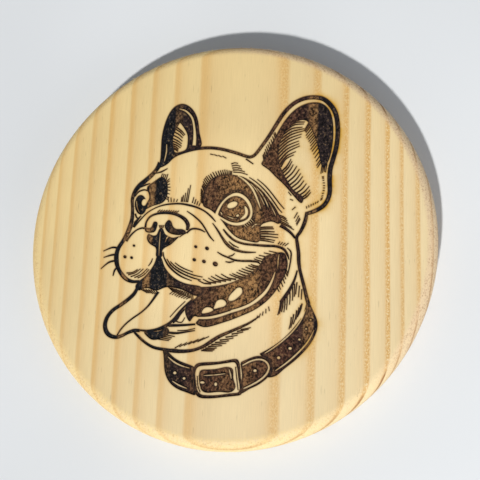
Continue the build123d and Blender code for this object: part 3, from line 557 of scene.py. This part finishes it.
def rounded_edge(s, colour, place, line, out):
    """The colour with its rounded edge: cream at the lower left, tan and torn at the upper right."""
    x, y, z = s.split(place)
    end_grain = s.math("POWER", s.math("DIVIDE", y, out), 2.0)
    lower_left = s.ramp(s.math("MULTIPLY_ADD", x, 0.6, y), -38.0, -16.0, 1.0, 0.0)
    upper_right = s.ramp(s.math("MULTIPLY_ADD", y, 0.5, x), 15.0, 38.0)
    fuzz = s.noise(place, (1.5, 1.1, 1.5), roughness=0.75)
    edge = s.ramp(out, FLAT_RADIUS - 0.6, FLAT_RADIUS + 0.5)
    cream = s.times(edge, lower_left, s.ramp(fuzz, 0.4, 0.6, 0.05, 0.55))
    colour = s.mix(cream, colour, linear(RIM_CREAM))
    brow = s.ramp(out, FLAT_RADIUS, FLAT_RADIUS + 1.2)
    colour = s.mix(s.times(brow, upper_right, 0.55), colour, linear(RIM_TAN))

    specks = s.noise(place, (2.6, 2.2, 2.6), detail=2.0, roughness=0.8)
    rough = s.times(s.math("MAXIMUM", end_grain, lower_left), 0.5)
    torn_out = s.times(brow, s.math("MAXIMUM", upper_right, rough))
    colour = s.mix(s.times(torn_out, s.ramp(specks, 0.52, 0.64, 0.0, 0.55)), colour, linear(RIM_LINE))
    colour = s.mix(s.times(torn_out, s.ramp(specks, 0.34, 0.46, 0.6, 0.0)), colour, linear(EARLY_WOOD))
    below = s.times(s.ramp(z, FACE - 1.1, FACE - 0.2, 1.0, 0.0), s.ramp(x, -28.0, -8.0, 0.15, 1.0))
    return s.mix(s.times(s.math("POWER", line, 2.0), below), colour, linear(RIM_LINE))


def scorched(s, colour, place):
    """The colour with yellow smoke and brown toast beside the burnt lines, most of it on the right."""
    burnt_edge = s.burnt_edge()
    drift = s.noise(place, (0.35, 0.35, 0.35), detail=2.0)
    smoke = s.math("EXPONENT", s.times(burnt_edge, -1.5))
    right = s.ramp(s.split(place)[0], 12.0, 27.0, 0.1, 1.5)
    colour = s.mix(s.times(smoke, s.ramp(drift, 0.3, 0.7, 0.3, 1.0), right), colour, linear(SMOKE))
    toast = s.math("EXPONENT", s.times(burnt_edge, -9.0))
    return s.mix(s.times(toast, 0.9), colour, linear(TOAST))


def pine(name):
    """Flat-sawn pine, with toasted wood beside every burnt line and torn grain round the rim."""
    s = Shader(name)
    place, phase, line = growth(s)
    x, y, _ = s.split(place)
    out = s.length(x, y)
    fibres = s.noise(place, (5.0, 0.16, 5.0), detail=4.0, roughness=0.6)
    grit = s.noise(place, (2.8, 1.8, 2.8), detail=2.0, roughness=0.7)
    colour = grain_colour(s, place, phase, line, grit)
    # The wood's own streaks, blotches and ducts, with painted light that is brighter in the middle.
    colour = s.shaded(colour, fibre_tone_and_painted_light(s, place, fibres))
    colour = rounded_edge(s, colour, place, line, out)
    colour = scorched(s, colour, place)
    rough_end = s.times(s.ramp(out, FLAT_RADIUS - 0.5, FLAT_RADIUS + 1.0), grit)
    height = s.plus(s.times(fibres, 0.4), s.times(rough_end, 2.2), s.times(line, 0.35))
    return s.finish(colour, s.ramp(fibres, 0.2, 0.8, 0.55, 0.72), height, relief=0.045)


def charcoal(name):
    """Laser-burnt pine: blue-black over early wood, brown over late wood, with faint scan lines."""
    s = Shader(name)
    place, phase, _ = growth(s)
    x, y, _ = s.split(place)

    # Brown where late wood was burnt, and in the middle, where the rings run level with the face.
    level = s.times(s.ramp(x, -5.5, 3.5), s.ramp(x, 7.0, 10.0, 1.0, 0.0))
    level = s.times(level, s.ramp(y, -26.0, -20.0, 0.35, 1.0))
    outwards = s.math("ABSOLUTE", s.math("SUBTRACT", x, 2.0))
    late = s.times(s.ramp(phase, 0.54, 0.7), s.ramp(phase, 0.88, 0.96, 1.0, 0.0))
    late = s.times(late, s.ramp(outwards, 14.0, 20.0, 0.22, 0.8))
    drift = s.noise(place, (0.5, 0.12, 0.5), detail=2.0)
    late = s.times(s.math("MAXIMUM", late, level), s.ramp(drift, 0.25, 0.6, 0.65, 1.0))
    middle = s.times(s.ramp(x, -16.0, -2.0), s.ramp(x, 15.0, 22.0, 1.0, 0.2))
    colour = s.mix(middle, linear(CHAR_ON_EARLY), linear(CHAR_MIDDLE))
    colour = s.mix(late, colour, linear(CHAR_ON_LATE))

    # The crust, its pale specks and the black rim of every burnt region.
    crust = s.noise(place, (2.0, 1.5, 2.0), roughness=0.7)
    patches = s.noise(place, (0.9, 0.5, 0.9), detail=2.0)
    mottle = s.plus(s.ramp(crust, 0.4, 0.6, -0.75, 0.9), s.ramp(patches, 0.38, 0.62, -0.2, 0.3), 1.0)
    colour = s.shaded(colour, mottle)
    burnt_edge = s.burnt_edge()
    speck = s.times(s.ramp(crust, 0.57, 0.68, 0.0, 0.7), s.ramp(burnt_edge, 0.1, 0.45))
    colour = s.mix(s.times(speck, s.ramp(late, 0.0, 1.0, 0.6, 1.0)), colour, linear(CHAR_SPECK))
    colour = s.mix(s.ramp(burnt_edge, 0.1, 0.5, 0.62, 0.0), colour, linear(CHAR_ON_EARLY))

    waves = {"Vector": place, "Scale": 1.25, "Distortion": 0.8, "Detail": 1.0}
    scan = s.add("TexWave", waves, bands_direction="Y").outputs["Fac"]
    height = s.plus(s.times(crust, 1.2), s.times(scan, 0.35))
    return s.finish(colour, s.ramp(crust, 0.3, 0.7, 0.75, 0.95), height, relief=0.07, specular=0.15)


def plaster(name):
    """The pale surface that the board lies on."""
    s = Shader(name)
    place = s.place()
    grain = s.noise(place, (0.6, 0.6, 0.6), detail=4.0)
    drift = s.noise(place, (0.012, 0.012, 0.012), detail=1.0)
    darker = [c - FLOOR_DRIFT for c in FLOOR]
    colour = s.mix(s.ramp(drift, 0.35, 0.65), linear(FLOOR), linear(darker))
    return s.finish(colour, 0.6, grain, relief=0.004, specular=0.05)


# ---- the setting -----------------------------------------------------------------------------------
def make_floor():
    """A wide pale surface at the board's underside, which isn't part of the object."""
    half = FLOOR_HALF_WIDTH
    points = [(-half, -half, 0), (half, -half, 0), (half, half, 0), (-half, half, 0)]
    mesh = bpy.data.meshes.new("table_top")
    mesh.from_pydata([Vector(p) * MM for p in points], [], [(0, 1, 2, 3)])
    mesh.materials.append(plaster("table_white"))
    floor = bpy.data.objects.new("table_top", mesh)
    bpy.context.scene.collection.objects.link(floor)


def make_lamp(name, kind, energy, colour, travels, place=(0, 0, 0)):
    """A lamp whose light travels in a direction."""
    data = bpy.data.lights.new(name, kind)
    data.energy = energy
    data.color = colour
    lamp = bpy.data.objects.new(name, data)
    lamp.rotation_mode = "QUATERNION"
    lamp.rotation_quaternion = Vector(travels).to_track_quat("-Z", "Y")
    lamp.location = Vector(place) * MM
    bpy.context.scene.collection.objects.link(lamp)
    return data


def make_lights():
    """A key light and a soft fill, both from the near side of the picture, and an even sky."""
    key = make_lamp("key", "SUN", SUN_STRENGTH, SUN_COLOUR, LIGHT_TRAVELS)
    key.angle = math.radians(SUN_ANGLE)
    fill = make_lamp("fill", "AREA", FILL_POWER, FILL_COLOUR, [-c for c in FILL_PLACE], FILL_PLACE)
    fill.size = FILL_SIZE * MM
    world = bpy.data.worlds.new("sky")
    world.use_nodes = True
    background = world.node_tree.nodes["Background"]
    background.inputs["Color"].default_value = SKY_COLOUR
    background.inputs["Strength"].default_value = SKY_STRENGTH
    bpy.context.scene.world = world


def make_camera():
    """A camera over the board, a little to its near right, rolled so that the picture stands upright."""
    azimuth, elevation = math.radians(CAMERA_AZIMUTH), math.radians(CAMERA_ELEVATION)
    level = math.cos(elevation)
    back = Vector((math.sin(azimuth) * level, -math.cos(azimuth) * level, math.sin(elevation)))
    right = Vector((math.cos(azimuth), math.sin(azimuth), 0))
    up = back.cross(right)
    turned = Matrix.Rotation(math.radians(CAMERA_ROLL), 3, back)
    axes = Matrix((turned @ right, turned @ up, back)).transposed()
    data = bpy.data.cameras.new("camera")
    data.sensor_width = CAMERA_SENSOR
    data.lens = CAMERA_LENS
    data.clip_start = NEAREST_SEEN * MM
    camera = bpy.data.objects.new("camera", data)
    aim = Vector((*CAMERA_AIM, FACE))
    camera.matrix_world = Matrix.Translation((aim + back * CAMERA_DISTANCE) * MM) @ axes.to_4x4()
    bpy.context.scene.collection.objects.link(camera)
    bpy.context.scene.camera = camera


# ---- put it together -------------------------------------------------------------------------------
bare_wood = pine("pine")
burnt_wood = charcoal("charcoal")
make_board(bare_wood)
for node in sorted(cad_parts):
    if node.startswith("char_"):
        make_char(node, burnt_wood)
make_fibres(bare_wood)
make_floor()
make_lights()
make_camera()
bpy.context.scene.view_settings.view_transform = "Standard"
